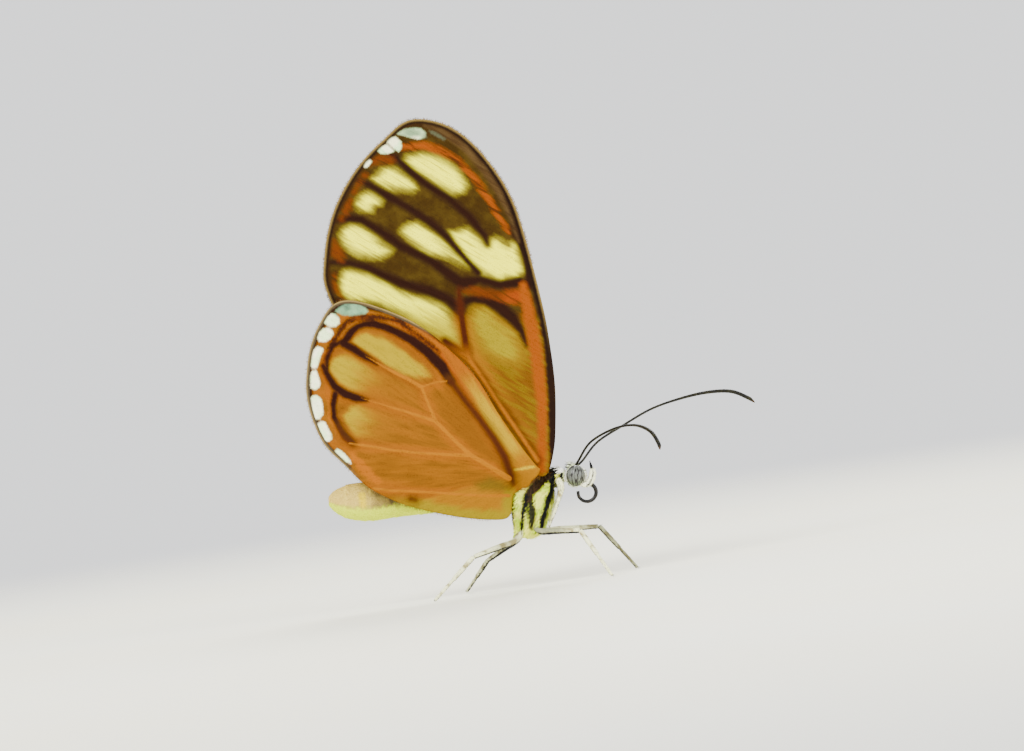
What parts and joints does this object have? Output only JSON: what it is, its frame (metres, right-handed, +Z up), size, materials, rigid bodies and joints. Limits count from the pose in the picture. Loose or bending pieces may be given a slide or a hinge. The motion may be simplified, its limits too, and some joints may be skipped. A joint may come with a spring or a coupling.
{
  "type": "clearwing butterfly model",
  "caption": "Life-size still model of a clearwing butterfly at rest on its legs, wings closed over its back.",
  "frame": {"origin": "middle of the insect's box, on the floor it stands on", "axes": "+X towards the head end, +Y towards the insect's left side, +Z up"},
  "size_m": [0.0358, 0.0172, 0.0383],
  "materials": {
    "wing_scales": "fine scales over a thin sheet",
    "body_fur": "short scales and fur",
    "eye_glaze": "finely faceted, glossy",
    "dark_horn": "dark horn",
    "leg_scales": "fine scales on horn"
  },
  "bodies": {
    "root": {"thorax": "body_fur", "prothorax": "body_fur", "head": "body_fur", "abdomen": "body_fur", "eye_right": "eye_glaze", "eye_left": "eye_glaze", "palp_right": "leg_scales", "palp_left": "leg_scales", "proboscis": "dark_horn", "antenna_right": "dark_horn", "antenna_left": "dark_horn", "forewing_right": "wing_scales", "forewing_left": "wing_scales", "hindwing_right": "wing_scales", "hindwing_left": "wing_scales", "foreleg_right": "leg_scales", "foreleg_left": "leg_scales", "midleg_right": "leg_scales", "midleg_left": "leg_scales", "hindleg_right": "leg_scales", "hindleg_left": "leg_scales"}
  },
  "joints": []
}
